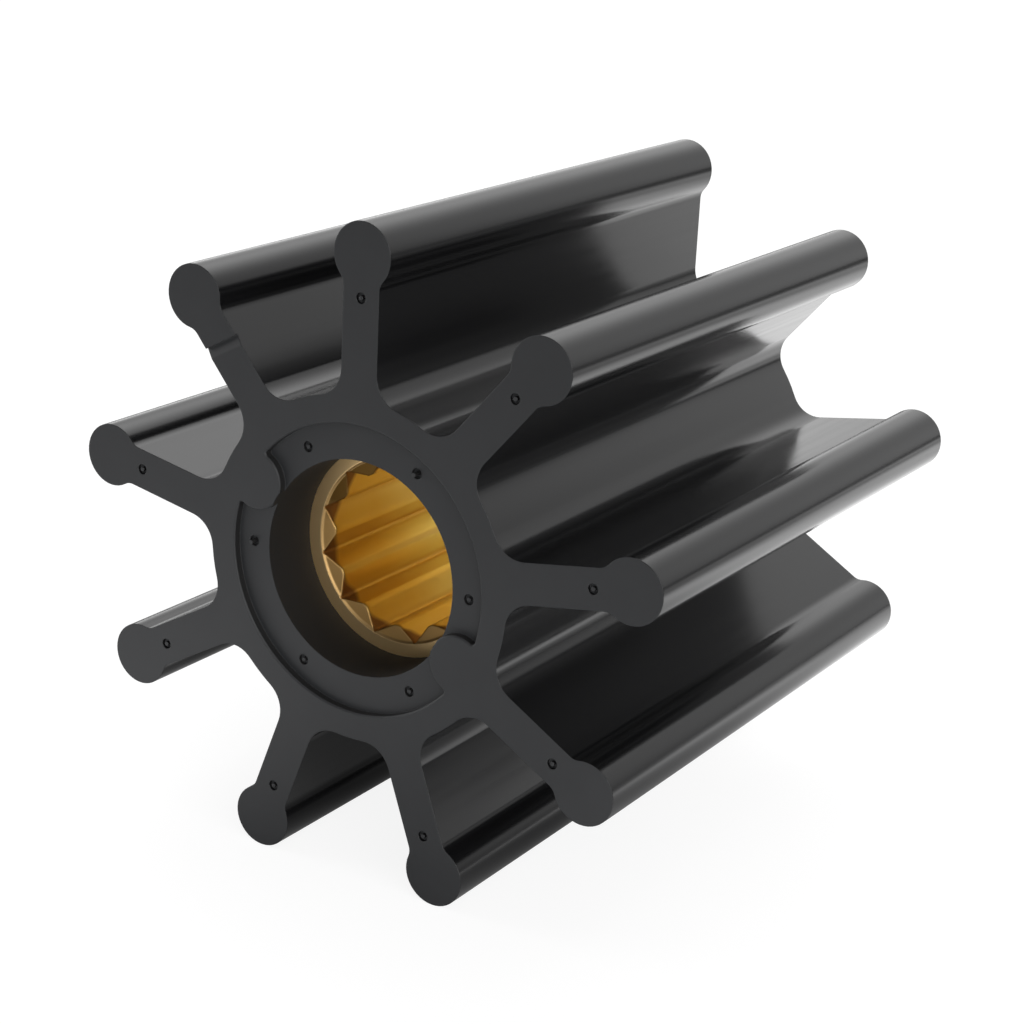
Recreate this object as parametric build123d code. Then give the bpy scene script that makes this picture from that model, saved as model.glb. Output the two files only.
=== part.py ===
from build123d import *
import math
import os

os.makedirs("parts", exist_ok=True)

# Flexible rubber pump impeller on a splined brass bush. Sizes are in millimetres and degrees.
# The origin is on the bore axis at mid-length. +Y runs along the bore from the front face to the rear
# face, and +Z is up through the middle of the first blade. Angles turn from +X towards +Z.

# Whole impeller
length = 86.0
tip_diameter = 95.0
hub_diameter = 48.4

# Blades
blade_count = 9
first_blade_angle = 90.0
web_thickness = 5.7
bulb_diameter = 8.96
neck_radius = 2.0
root_radius = 4.3

# Bore at each end of the rubber, which ends on the bush's end face
bore_diameter = 30.3
bush_setback = 10.3

# Ring-shaped recess round the bore, with lobes of full height left standing in it
recess_diameter = 40.6
recess_depth = 1.2
lobe_count = 2
lobe_radius = 4.2
lobe_overhang = 0.2
first_lobe_angle = 151.3
recess_corner_radius = 0.5
recess_rim_break = 0.2

# Moulding pips: a small stub in a crater. Two on the recess floor were torn off long.
pip_diameter = 0.6
pip_crater_diameter = 1.5
pip_crater_depth = 0.5
floor_pip_count = 6
torn_pip_angles = (60.0, 180.0)
torn_pip_height = 0.8
blade_pip_inset = 5.6

# Wedge-shaped nick slanting across the front face of the last blade, which has no pip
nick_inset = 7.2
nick_slant = 10.6
nick_run = 1.6
nick_depth = 0.45

# Bush, held in the rubber by its rims, and its internal spline of straight V-shaped grooves
bush_diameter = 34.0
bush_edge_break = 0.4
spline_tooth_count = 12
spline_minor_diameter = 22.2
spline_groove_diameter = 26.6
spline_groove_angle = 90.0
spline_groove_root_radius = 0.25
first_groove_angle = 14.0
lead_in_diameter = 25.9
lead_in_slope = 12.0
lip_break = 0.25

# How far a cutting shape reaches past what it cuts, and how closely a corner or edge has to match the
# size that it is picked by
overcut = 1.0
match = 0.01

# Sizes that follow from the ones above
front_y = -length / 2
tip_radius = tip_diameter / 2
hub_radius = hub_diameter / 2
bulb_radius = bulb_diameter / 2
bore_radius = bore_diameter / 2
bush_radius = bush_diameter / 2
recess_radius = recess_diameter / 2
bulb_centre_radius = tip_radius - bulb_radius
lobe_centre_radius = bore_radius - lobe_overhang + lobe_radius
floor_pip_radius = (bore_radius + recess_radius) / 2
blade_pip_radius = bulb_centre_radius - blade_pip_inset
nick_radius = bulb_centre_radius - nick_inset
bush_length = length - 2 * bush_setback
blade_angles = [first_blade_angle - i * 360 / blade_count for i in range(blade_count)]
lobe_angles = [first_lobe_angle + i * 360 / lobe_count for i in range(lobe_count)]
groove_angles = [first_groove_angle + i * 360 / spline_tooth_count for i in range(spline_tooth_count)]
floor_pip_angles = [i * 360 / floor_pip_count for i in range(floor_pip_count)]

middle_plane = Plane.XZ
front_plane = Plane.XZ.offset(length / 2)
floor_plane = Plane.XZ.offset(length / 2 - recess_depth)


def on_circle(angle, radius):
    """Place a shape drawn round its own centre on a circle round the bore axis."""
    return Rot(0, 0, angle) * Pos(radius, 0)


def blade_outline(angle):
    """One blade seen end on: a parallel web that ends in a round bulb."""
    web = Pos(bulb_centre_radius / 2, 0) * Rectangle(bulb_centre_radius, web_thickness)
    bulb = Pos(bulb_centre_radius, 0) * Circle(bulb_radius)
    return Rot(0, 0, angle) * (web + bulb)


def rubber_outline():
    """Hub and blades seen end on, with the hollows at each blade's root and neck."""
    hub = Rot(0, 0, first_blade_angle) * Circle(hub_radius)
    outline = hub + [blade_outline(angle) for angle in blade_angles]
    root_distance = hub_radius
    neck_distance = math.hypot(
        bulb_centre_radius - math.sqrt(bulb_radius**2 - (web_thickness / 2) ** 2), web_thickness / 2
    )
    for distance, hollow in ((root_distance, root_radius), (neck_distance, neck_radius)):
        corners = outline.vertices().filter_by(
            lambda corner: abs(math.hypot(corner.X, corner.Y) - distance) < match
        )
        outline = fillet(corners, hollow)
    return outline


def recess_outline():
    """Floor of the recess seen end on: a ring broken by the lobes."""
    lobes = [on_circle(angle, lobe_centre_radius) * Circle(lobe_radius) for angle in lobe_angles]
    outline = Circle(recess_radius) - Circle(bore_radius - overcut) - lobes
    rim_corners = outline.vertices().filter_by(
        lambda corner: abs(math.hypot(corner.X, corner.Y) - recess_radius) < match
    )
    return fillet(rim_corners, recess_corner_radius)


def recess_rims(body):
    """Outer edges of both recesses where they meet the end faces."""
    arcs = body.edges().filter_by(GeomType.CIRCLE)
    on_ends = arcs.filter_by(lambda edge: abs(abs(edge.center().Y) - length / 2) < match)
    return on_ends.filter_by(lambda edge: abs(edge.radius - recess_radius) < match)


def pip_crater(plane, angle, radius):
    """Ring-shaped crater round a stub that is flush with the face it stands on."""
    ring = Circle(pip_crater_diameter / 2) - Circle(pip_diameter / 2)
    return extrude(plane * on_circle(angle, radius) * ring, -pip_crater_depth)


def torn_pip(angle):
    """Stub torn off long, standing up from the recess floor."""
    stub = on_circle(angle, floor_pip_radius) * Circle(pip_diameter / 2)
    return extrude(floor_plane * stub, torn_pip_height)


def blade_nick():
    """Wedge cut out of the last blade's front face, deepest on the side of the bulb."""
    blade = math.radians(blade_angles[-1])
    turned = math.radians(blade_angles[-1] - nick_slant)
    side_plane = Plane(
        origin=(nick_radius * math.cos(blade), front_y, nick_radius * math.sin(blade)),
        x_dir=(math.cos(turned), 0, math.sin(turned)),
        z_dir=(-math.sin(turned), 0, math.cos(turned)),
    )
    wedge = Polyline((0, -overcut), (0, nick_depth), (-nick_run, 0), (-nick_run, -overcut), close=True)
    return extrude(side_plane * make_face(wedge), web_thickness, both=True)


def bush_blank():
    """Outside of the bush, which the rubber is bonded to all round and over the rims of its end faces."""
    blank = extrude(middle_plane * Circle(bush_radius), bush_length / 2, both=True)
    return chamfer(blank.edges().filter_by(GeomType.CIRCLE), bush_edge_break)


def rubber_body():
    """The whole rubber moulding, alike at both ends but for the pips and the nick."""
    body = extrude(middle_plane * rubber_outline(), length / 2, both=True)
    recess = extrude(front_plane * recess_outline(), -recess_depth)
    body -= recess
    body -= mirror(recess, about=middle_plane)
    body = chamfer(recess_rims(body), recess_rim_break)
    body -= extrude(middle_plane * Circle(bore_radius), length / 2 + overcut, both=True)
    body -= bush_blank()
    body -= [pip_crater(front_plane, angle, blade_pip_radius) for angle in blade_angles[:-1]]
    body -= [pip_crater(floor_plane, angle, floor_pip_radius) for angle in floor_pip_angles]
    body += [torn_pip(angle) for angle in torn_pip_angles]
    return body - blade_nick()


def spline_groove(angle):
    """One straight groove of the spline seen end on: a V that points away from the bore axis."""
    apex = spline_groove_diameter / 2
    depth = apex - spline_minor_diameter / 2 + overcut
    half_width = depth * math.tan(math.radians(spline_groove_angle / 2))
    outline = Polyline((apex, 0), (apex - depth, half_width), (apex - depth, -half_width), close=True)
    groove = make_face(outline)
    root = groove.vertices().sort_by(Axis.X)[-1]
    return Rot(0, 0, angle) * fillet(root, spline_groove_root_radius)


def lead_in():
    """Countersink at the front of the spline, with the lip's edge broken all round."""
    start = lead_in_diameter / 2
    end = spline_minor_diameter / 2 - overcut
    fall = (start - end) * math.tan(math.radians(lead_in_slope))
    profile = Polyline(
        (0, 0),
        (start + lip_break, 0),
        (start, lip_break),
        (end, lip_break + fall),
        (0, lip_break + fall),
        close=True,
    )
    return revolve(Pos(0, -bush_length / 2) * make_face(profile), Axis.Y)


def spline_bush():
    """Brass bush that fills the middle of the rubber, splined from end to end."""
    hole = Circle(spline_minor_diameter / 2) + [spline_groove(angle) for angle in groove_angles]
    bush = bush_blank() - extrude(middle_plane * hole, bush_length / 2 + overcut, both=True)
    countersink = lead_in()
    bush -= countersink
    return bush - mirror(countersink, about=middle_plane)


export_step(rubber_body(), "parts/rubber_body.step")
export_step(spline_bush(), "parts/spline_bush.step")
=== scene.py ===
import math

import bpy
from mathutils import Matrix, Vector


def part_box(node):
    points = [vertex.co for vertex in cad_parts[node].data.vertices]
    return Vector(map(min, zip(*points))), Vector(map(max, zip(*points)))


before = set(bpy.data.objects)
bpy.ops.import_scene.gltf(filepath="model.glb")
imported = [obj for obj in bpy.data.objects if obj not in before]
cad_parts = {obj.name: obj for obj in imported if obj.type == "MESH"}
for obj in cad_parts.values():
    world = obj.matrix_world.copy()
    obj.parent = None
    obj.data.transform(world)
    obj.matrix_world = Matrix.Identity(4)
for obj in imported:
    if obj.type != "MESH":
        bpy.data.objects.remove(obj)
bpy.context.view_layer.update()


# Rubber moulding: hub, nine blades and end recesses in one piece of black neoprene, cured in a polished steel
# mould. Its sides come out glossy, with faint draw lines along the blades. Both ends are ground flat and
# matte. The walls of the bore and recesses are dull from the core pins, with painted shade: a darker black.
def linear(hex_colour):
    """An sRGB hex colour as the linear RGBA that a shader takes."""
    channels = [int(hex_colour[i:i + 2], 16) / 255 for i in (1, 3, 5)]
    return tuple(c / 12.92 if c <= 0.04045 else ((c + 0.055) / 1.055) ** 2.4 for c in channels) + (1.0,)


def add_node(owner, kind, *values, output=0, **settings):
    """Add a node to a material or world with its settings, and give one of its outputs.

    The values go to the sockets in use, in their order, or by name where they come as one dictionary. Each is
    a number, a colour or another node's output.
    """
    tree = owner.node_tree
    node = tree.nodes.new("ShaderNode" + kind)
    for name, value in settings.items():
        setattr(node, name, value)
    if values and isinstance(values[0], dict):
        filled = [(node.inputs[name], value) for name, value in values[0].items()]
    else:
        filled = zip([socket for socket in node.inputs if socket.enabled], values)
    for socket, value in filled:
        if isinstance(value, bpy.types.NodeSocket):
            tree.links.new(value, socket)
        else:
            socket.default_value = value
    given = [socket for socket in node.outputs if socket.enabled]
    return node.outputs[output] if isinstance(output, str) else (given or [None])[output]


def new_material(name):
    """An empty node material."""
    material = bpy.data.materials.new(name)
    material.use_nodes = True
    material.node_tree.nodes.clear()
    return material


MM_PER_METRE = 1000.0
END_SLOPE = 0.5


def place_in_mm(material):
    """Where a point of a piece lies, in mm: its place, and its distance from the bore axis."""
    metres = add_node(material, "TexCoord", output="Object")
    place = add_node(material, "VectorMath", metres, MM_PER_METRE, operation="SCALE")
    across = add_node(material, "VectorMath", place, (1, 0, 1), operation="MULTIPLY")
    return place, add_node(material, "VectorMath", across, operation="LENGTH")


def faces_an_end(material):
    """1 where a surface looks along the bore, and 0 where it runs along it."""
    normal = add_node(material, "NewGeometry", output="Normal")
    along = add_node(material, "SeparateXYZ", normal, output="Y")
    slope = add_node(material, "Math", along, operation="ABSOLUTE")
    return add_node(material, "Math", slope, END_SLOPE, operation="GREATER_THAN")


# Black of the moulded sides, a darker black on the walls on the core pins for painted shade in the bore and
# recesses, and the two greys that mottle the ground ends.
MOULDED_BLACK = "#121213"
SHADED_CORE_BLACK = "#0e0d0d"
GROUND_DARK = "#222325"
GROUND_PALE = "#28292b"
RUBBER_IOR = 1.52
# Roughness: the sides run from the first to the second with the draw lines, the other two are even.
GLOSSIEST, LEAST_GLOSSY = 0.12, 0.26
MATTE, CORED = 0.58, 0.75
# In mm. The walls from the core pins all lie within the core radius. The grit of the ground ends is really
# about 0.05 mm wide, too fine to show, so it is drawn coarser.
CORE_RADIUS = 22.0
DRAW_LINE_WIDTH, SWELL_WIDTH, MOTTLE_WIDTH, GRIT_WIDTH = 1.3, 14.0, 5.0, 0.22
# How far each pattern is squeezed along the bore: a small share draws it out into long lines.
DRAW_LINE_SQUEEZE, SWELL_SQUEEZE = 0.02, 0.35
FINE_DETAIL, PLAIN_DETAIL = 2.0, 1.0
# In metres, as the bump and bevel nodes take them, and the share of the grit that shows on dull faces.
SWELL_HEIGHT, GRIT_HEIGHT, EDGE_RADIUS = 0.00010, 0.00002, 0.00025
GRIT_SHARE = 0.5
EDGE_SAMPLES = 4

# Neoprene from a polished mould: a deep black with soft, slightly wavy reflections on the sides, and a dry,
# even grey on the ground ends.
rubber = new_material("moulded_neoprene")
place, radius = place_in_mm(rubber)
ground = faces_an_end(rubber)
cored_and_shaded = add_node(rubber, "Math", radius, CORE_RADIUS, operation="LESS_THAN")
dull = add_node(rubber, "Math", ground, cored_and_shaded, operation="MAXIMUM")
drawn = add_node(rubber, "VectorMath", place, (1, DRAW_LINE_SQUEEZE, 1), operation="MULTIPLY")
draw_lines = add_node(
    rubber, "TexNoise",
    {"Vector": drawn, "Scale": 1 / DRAW_LINE_WIDTH, "Detail": FINE_DETAIL},
)
rolled = add_node(rubber, "VectorMath", place, (1, SWELL_SQUEEZE, 1), operation="MULTIPLY")
swell = add_node(rubber, "TexNoise", {"Vector": rolled, "Scale": 1 / SWELL_WIDTH, "Detail": PLAIN_DETAIL})
mottle = add_node(rubber, "TexNoise", {"Vector": place, "Scale": 1 / MOTTLE_WIDTH, "Detail": FINE_DETAIL})
grit = add_node(rubber, "TexNoise", {"Vector": place, "Scale": 1 / GRIT_WIDTH, "Detail": FINE_DETAIL})
# The walls within the core radius take the darker black: painted shade in the bore and recesses.
moulded = add_node(rubber, "Mix", cored_and_shaded, linear(MOULDED_BLACK), linear(SHADED_CORE_BLACK), data_type="RGBA")
scoured = add_node(rubber, "Mix", mottle, linear(GROUND_DARK), linear(GROUND_PALE), data_type="RGBA")
black = add_node(rubber, "Mix", ground, moulded, scoured, data_type="RGBA")
gloss = add_node(rubber, "Mix", draw_lines, GLOSSIEST, LEAST_GLOSSY)
side_roughness = add_node(rubber, "Mix", cored_and_shaded, gloss, CORED)
roughness = add_node(rubber, "Mix", ground, side_roughness, MATTE)
rounded = add_node(rubber, "Bevel", {"Radius": EDGE_RADIUS}, samples=EDGE_SAMPLES)
waves = add_node(
    rubber, "Bump",
    {"Strength": 1.0, "Distance": SWELL_HEIGHT, "Height": swell, "Normal": rounded},
)
grit_depth = add_node(rubber, "Math", dull, GRIT_SHARE, operation="MULTIPLY")
surface = add_node(
    rubber, "Bump",
    {"Strength": grit_depth, "Distance": GRIT_HEIGHT, "Height": grit, "Normal": waves},
)
skin = add_node(
    rubber, "BsdfPrincipled",
    {"Base Color": black, "Roughness": roughness, "IOR": RUBBER_IOR, "Normal": surface},
)
add_node(rubber, "OutputMaterial", skin)
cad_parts["rubber_body"].material_slots[0].material = rubber


# Splined bush: one brass sleeve, turned at the ends and broached through, which leaves soft lines along the
# grooves. The grooves' walls are a darker brown near their mouths, and the upper teeth's ends carry painted
# shade.

# The grooves' walls: darkest and palest of the lines near the mouth, a paler brass deep inside for painted
# light, and the root.
BRASS_DARK = "#e3bd68"
BRASS_PALE = "#f1d385"
DEEP_LIT_BRASS = "#fef2b2"
ROOT_BRASS = "#e4c072"
MOUTH_BROWN = "#9f7340"
# The turned ends: the flat ring, the broken lip inside it, and the teeth's ends, plain and with painted shade.
TURNED_BRASS = "#fddaa0"
LIP_BRASS = "#bd9b68"
TOOTH_BRASS = "#c8a166"
TOOTH_SHADED = "#6e5228"
BROACHED_SMOOTH, BROACHED_ROUGH, MOUTH_ROUGH = 0.26, 0.36, 0.5
TURNED_ROUGH, COUNTERSUNK_ROUGH = 0.46, 0.5
# In mm: the bush itself, then where the walls turn paler with painted light, counted from the mouth, where
# the root's colour comes in, and the heights between which the teeth's ends go from plain to painted shade.
BUSH_HALF_LENGTH, TOOTH_TIP_RADIUS, COUNTERSINK_RADIUS, LIP_RADIUS = 32.7, 11.1, 12.9, 13.22
DEEP_LIGHT_FROM, DEEP_LIGHT_FULL, DEEP_LIGHT_MOST = 11.0, 25.0, 0.9
ROOT_STARTS, ROOT_ENDS = 12.6, 13.2
PLAIN_TEETH_TO, SHADED_TEETH_FROM = 1.5, 5.0
# How far in the darker brown reaches, in mm: at a tooth's tip, more for each mm out into the groove, and more
# again by the broach lines, which leave its edge ragged. The last number is 1 over the mm it fades out in.
MOUTH_AT_TIP, MOUTH_PER_MM_OUT, MOUTH_RAGGED, MOUTH_FADE = 0.0, 1.5, 1.6, 0.9
# Broach lines are really some 0.1 mm wide, too fine to show, so they are drawn as broad streaks, in mm.
BROACH_LINE_WIDTH, BROACH_LINE_SQUEEZE, BROACH_LINE_DETAIL = 2.4, 0.012, 0.5
# In metres, as the bump and bevel nodes take them.
BROACH_LINE_HEIGHT, TOOTH_EDGE_RADIUS, GROOVE_EDGE_RADIUS = 0.00001, 0.0003, 0.0008
GROOVE_SAMPLES = 8

# Machined brass: satin pale gold on the turned ends, and a deep gold in the grooves, where light goes from
# wall to wall, with soft streaks along them.
brass = new_material("broached_brass")
place, radius = place_in_mm(brass)
along_bore = add_node(brass, "SeparateXYZ", place, output="Y")
from_middle = add_node(brass, "Math", along_bore, operation="ABSOLUTE")
from_mouth = add_node(brass, "Math", BUSH_HALF_LENGTH, from_middle, operation="SUBTRACT")
turned = faces_an_end(brass)
broached = add_node(brass, "Math", 1.0, turned, operation="SUBTRACT")
drawn = add_node(brass, "VectorMath", place, (1, BROACH_LINE_SQUEEZE, 1), operation="MULTIPLY")
broach_lines = add_node(
    brass, "TexNoise",
    {"Vector": drawn, "Scale": 1 / BROACH_LINE_WIDTH, "Detail": BROACH_LINE_DETAIL},
)
# The grooves' walls turn a darker brown near the mouth, reaching further in out towards the roots.
in_groove = add_node(brass, "Math", radius, TOOTH_TIP_RADIUS, operation="SUBTRACT")
even_reach = add_node(brass, "Math", in_groove, MOUTH_PER_MM_OUT, MOUTH_AT_TIP, operation="MULTIPLY_ADD")
mouth_reach = add_node(brass, "Math", broach_lines, MOUTH_RAGGED, even_reach, operation="MULTIPLY_ADD")
reach_left = add_node(brass, "Math", mouth_reach, from_mouth, operation="SUBTRACT")
darker_share = add_node(brass, "Math", reach_left, MOUTH_FADE, operation="MULTIPLY", use_clamp=True)
darker_mouth = add_node(brass, "Math", darker_share, broached, operation="MULTIPLY")
streaked = add_node(brass, "Mix", broach_lines, linear(BRASS_DARK), linear(BRASS_PALE), data_type="RGBA")
# Paler towards the middle of the bore: painted light deep inside the grooves.
deep_light = add_node(brass, "MapRange", from_mouth, DEEP_LIGHT_FROM, DEEP_LIGHT_FULL, 0.0, DEEP_LIGHT_MOST)
walls = add_node(brass, "Mix", deep_light, streaked, linear(DEEP_LIT_BRASS), data_type="RGBA")
at_root = add_node(brass, "MapRange", radius, ROOT_STARTS, ROOT_ENDS)
broached_colour = add_node(brass, "Mix", at_root, walls, linear(ROOT_BRASS), data_type="RGBA")
on_teeth = add_node(brass, "Math", radius, COUNTERSINK_RADIUS, operation="LESS_THAN")
on_lip = add_node(brass, "Math", radius, LIP_RADIUS, operation="LESS_THAN")
turned_colour = add_node(brass, "Mix", on_lip, linear(TURNED_BRASS), linear(LIP_BRASS), data_type="RGBA")
# The teeth's ends turn darker towards the top of the bore: painted shade.
height = add_node(brass, "SeparateXYZ", place, output="Z")
shaded_up_top = add_node(brass, "MapRange", height, PLAIN_TEETH_TO, SHADED_TEETH_FROM)
tooth_colour = add_node(brass, "Mix", shaded_up_top, linear(TOOTH_BRASS), linear(TOOTH_SHADED), data_type="RGBA")
end_colour = add_node(brass, "Mix", on_teeth, turned_colour, tooth_colour, data_type="RGBA")
plain_colour = add_node(brass, "Mix", turned, broached_colour, end_colour, data_type="RGBA")
brass_colour = add_node(brass, "Mix", darker_mouth, plain_colour, linear(MOUTH_BROWN), data_type="RGBA")
broached_gloss = add_node(brass, "Mix", broach_lines, BROACHED_SMOOTH, BROACHED_ROUGH)
end_gloss = add_node(brass, "Mix", on_teeth, TURNED_ROUGH, COUNTERSUNK_ROUGH)
plain_gloss = add_node(brass, "Mix", turned, broached_gloss, end_gloss)
brass_gloss = add_node(brass, "Mix", darker_mouth, plain_gloss, MOUTH_ROUGH)
edge_radius = add_node(brass, "Mix", turned, GROOVE_EDGE_RADIUS, TOOTH_EDGE_RADIUS)
soft_edges = add_node(brass, "Bevel", {"Radius": edge_radius}, samples=GROOVE_SAMPLES)
lines = add_node(
    brass, "Bump",
    {"Strength": broached, "Distance": BROACH_LINE_HEIGHT, "Height": broach_lines, "Normal": soft_edges},
)
metal = add_node(
    brass, "BsdfPrincipled",
    {"Base Color": brass_colour, "Metallic": 1.0, "Roughness": brass_gloss, "Normal": lines},
)
add_node(brass, "OutputMaterial", metal)
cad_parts["spline_bush"].material_slots[0].material = brass


# Table: a thin grey sheet that the impeller rests on, grey for painted shade, and glowing in painted pools of
# light round the part. The camera sees a second, plain and pale sheet just above it.
# The hidden sheet is grey, not white: painted shade, so the table the rubber mirrors under the part is dim.
TABLE_SHADE_GREY = "#898989"
SEEN_GREY = "#7c7c7c"
WHITE = "#ffffff"
SEEN_GLOW = 0.88
# In metres: the lit sheet lies a sheet's thickness lower, so that the two don't coincide.
TABLE_SIZE, SHEET_THICKNESS = 12.0, 0.0002
POOLS = [
    # x and y of the middle in mm, half width along x and y in mm, and strength
    (110, -150, 60, 90, 0.26),
    (-250, -20, 100, 60, 3.64),
    (110, -20, 60, 60, 0.44),
    (0, 90, 55, 55, 1.59),
    (110, 90, 60, 55, 1.50),
    (0, 200, 55, 70, 1.44),
    (110, 200, 60, 70, 1.48),
    (110, 420, 60, 140, 1.18),
    (250, 420, 100, 140, 1.24),
    (-60, -90, 40, 45, 1.59),
    (60, -90, 45, 45, 1.36),
    (-95, -190, 45, 60, 1.00),
]
table_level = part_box("rubber_body")[0].z


def table(name, material, level):
    """One flat sheet at a height."""
    mesh = bpy.data.meshes.new(name)
    half = TABLE_SIZE / 2
    corners = [(-half, -half), (half, -half), (half, half), (-half, half)]
    mesh.from_pydata([(x, y, level) for x, y in corners], [], [(0, 1, 2, 3)])
    mesh.materials.append(material)
    sheet = bpy.data.objects.new(name, mesh)
    bpy.context.scene.collection.objects.link(sheet)
    return sheet


# Grey sheet with painted pools of light, which the glossy rubber mirrors. Each is brightest in its middle and
# fades as a bell does: exp(-1) to the power of the squared distance, counted in half widths.
lit_sheet = new_material("sheet_with_painted_light_and_shade")
spot = add_node(lit_sheet, "NewGeometry", output="Position")
glow = 0.0
for x, y, half_x, half_y, strength in POOLS:
    middle = (x / MM_PER_METRE, y / MM_PER_METRE, table_level)
    per_width = (MM_PER_METRE / half_x, MM_PER_METRE / half_y, 0)
    away = add_node(lit_sheet, "VectorMath", spot, middle, operation="SUBTRACT")
    widths = add_node(lit_sheet, "VectorMath", away, per_width, operation="MULTIPLY")
    squared = add_node(lit_sheet, "VectorMath", widths, widths, operation="DOT_PRODUCT")
    fade = add_node(lit_sheet, "Math", math.exp(-1), squared, operation="POWER")
    glow = add_node(lit_sheet, "Math", fade, strength, glow, operation="MULTIPLY_ADD")
# The pools are painted light: the sheet glows in them though it is no lamp.
pools = add_node(lit_sheet, "Emission", linear(WHITE), glow)
# Grey paper: painted shade in what the rubber mirrors of the table.
shaded_paper = add_node(lit_sheet, "BsdfDiffuse", linear(TABLE_SHADE_GREY))
add_node(lit_sheet, "OutputMaterial", add_node(lit_sheet, "AddShader", shaded_paper, pools))
table("table", lit_sheet, table_level - SHEET_THICKNESS).visible_camera = False

# Plain pale sheet: almost white to the eye by its own glow, with a little left for the part's soft shadow.
plain_sheet = new_material("plain_pale_sheet")
evenly_lit = add_node(plain_sheet, "Emission", linear(WHITE), SEEN_GLOW)
shaded = add_node(plain_sheet, "BsdfDiffuse", linear(SEEN_GREY))
add_node(plain_sheet, "OutputMaterial", add_node(plain_sheet, "AddShader", evenly_lit, shaded))
seen_table = table("table_seen", plain_sheet, table_level)
seen_table.visible_diffuse = seen_table.visible_glossy = seen_table.visible_shadow = False


# Light: a white tent whose walls glow in soft patches, and one soft box at the camera's left that throws the
# small shadows in the recess. The last three patches are for the sides and the top.
TENT = [
    # azimuth from +X towards +Y and elevation in degrees, sharpness, and strength
    (57, 18, 24, 0.47),
    (69, 31, 24, 0.43),
    (111, 31, 24, 0.38),
    (127, 0, 24, 1.47),
    (70, 0, 24, 0.81),
    (80, 17, 24, 0.14),
    (100, 17, 24, 0.82),
    (90, 58, 16, 2.04),
    (129, 47, 16, 1.93),
    (148, 0, 16, 0.82),
    (330, 8, 6, 2.69),
    (300, 8, 6, 1.65),
    (0, 88, 16, 0.80),
    (0, 40, 16, 0.60),
    (180, 40, 16, 0.60),
]
# Degrees as above, then how far away the soft box stands and how wide it is, in metres, and its strength.
BOX_AZIMUTH, BOX_ELEVATION, BOX_DISTANCE, BOX_SIZE, BOX_STRENGTH = 195, 12, 0.8, 0.3, 1.91


def towards(azimuth, elevation):
    """The direction of a light, seen from the impeller."""
    turn, lift = math.radians(azimuth), math.radians(elevation)
    return Vector((math.cos(lift) * math.cos(turn), math.cos(lift) * math.sin(turn), math.sin(lift)))


# The camera itself sees plain white walls, and everything else the patches.
tent = bpy.data.worlds.new("light_tent")
bpy.context.scene.world = tent
tent.use_nodes = True
tent.node_tree.nodes.clear()
looking = add_node(tent, "TexCoord", output="Generated")
glow = 0.0
for azimuth, elevation, sharpness, strength in TENT:
    along = add_node(tent, "VectorMath", looking, towards(azimuth, elevation), operation="DOT_PRODUCT")
    ahead = add_node(tent, "Math", along, 0.0, operation="MAXIMUM")
    patch = add_node(tent, "Math", ahead, sharpness, operation="POWER")
    glow = add_node(tent, "Math", patch, strength, glow, operation="MULTIPLY_ADD")
seen = add_node(tent, "LightPath", output="Is Camera Ray")
wall = add_node(tent, "Mix", seen, glow, 1.0)
add_node(tent, "OutputWorld", add_node(tent, "Background", linear(WHITE), wall))

# The energy goes with the box's area, so that its strength says how bright its face is at any size.
soft_box_light = bpy.data.lights.new("soft_box", "AREA")
soft_box_light.shape = "SQUARE"
soft_box_light.size = BOX_SIZE
soft_box_light.energy = BOX_STRENGTH * (math.pi * BOX_SIZE) ** 2
soft_box = bpy.data.objects.new("soft_box", soft_box_light)
soft_box.location = towards(BOX_AZIMUTH, BOX_ELEVATION) * BOX_DISTANCE
soft_box.rotation_euler = towards(BOX_AZIMUTH, BOX_ELEVATION).to_track_quat("Z", "Y").to_euler()
bpy.context.scene.collection.objects.link(soft_box)


# Camera: a long lens, a little above the part and to its right, as the photograph was taken. Its place in
# metres, its axes and its focal length in mm come from fitting the model's edges to the photograph.
CAMERA_PLACE = Vector((0.17428917, -0.28470852, 0.11042944))
CAMERA_RIGHT = Vector((0.84025, 0.54011, 0.04764))
CAMERA_UP = Vector((-0.21195, 0.24631, 0.94573))
FOCAL_LENGTH = 83.57
SENSOR_WIDTH = 36
lens = bpy.data.cameras.new("camera")
lens.lens = FOCAL_LENGTH
lens.sensor_width = SENSOR_WIDTH
camera = bpy.data.objects.new("camera", lens)
turned_to = Matrix((CAMERA_RIGHT, CAMERA_UP, CAMERA_RIGHT.cross(CAMERA_UP))).transposed().to_4x4()
camera.matrix_world = Matrix.Translation(CAMERA_PLACE) @ turned_to
bpy.context.scene.collection.objects.link(camera)
bpy.context.scene.camera = camera
bpy.context.scene.view_settings.view_transform = "Standard"
